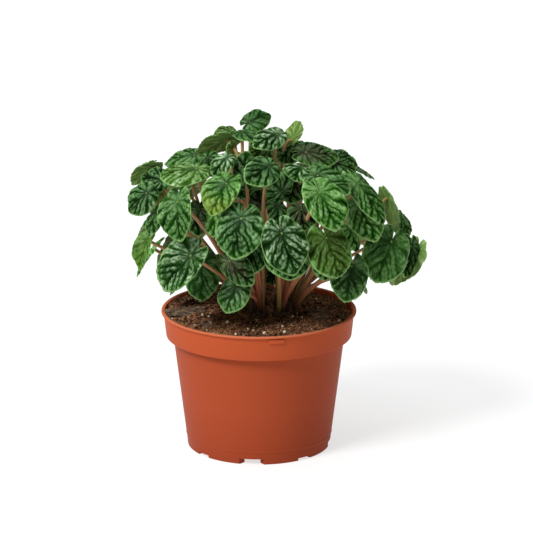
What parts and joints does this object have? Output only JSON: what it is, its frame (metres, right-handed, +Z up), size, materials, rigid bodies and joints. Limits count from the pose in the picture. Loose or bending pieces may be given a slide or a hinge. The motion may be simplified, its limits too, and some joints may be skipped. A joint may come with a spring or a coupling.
{
  "type": "potted peperomia",
  "caption": "House plant with rippled heart-shaped leaves on pink-brown leaf stalks, growing in peat in a moulded terracotta-coloured nursery pot",
  "frame": {"origin": "on the resting surface, at the middle of the flat pad under the pot, on the pot's axis", "axes": "+Z up along the pot's axis; the front, which has the tab on the pot's band, faces -Y; +X to the right seen from the front"},
  "size_m": [0.2313, 0.206, 0.266],
  "materials": {
    "pot": "satin moulded polypropylene, terracotta colour",
    "soil": "loose damp peat",
    "bark": "weathered bark",
    "foliage": "fleshy leaf, soft sheen"
  },
  "bodies": {
    "root": {"pot": "pot", "soil": "soil", "bark_chip_left": "bark", "bark_chip_right": "bark", "bark_chip_front": "bark", "leafy_crown_1": "foliage", "leafy_crown_2": "foliage", "leafy_crown_3": "foliage", "leafy_crown_4": "foliage", "leafy_crown_5": "foliage", "leafy_crown_6": "foliage", "leafy_crown_7": "foliage", "leafy_crown_8": "foliage"}
  },
  "joints": []
}
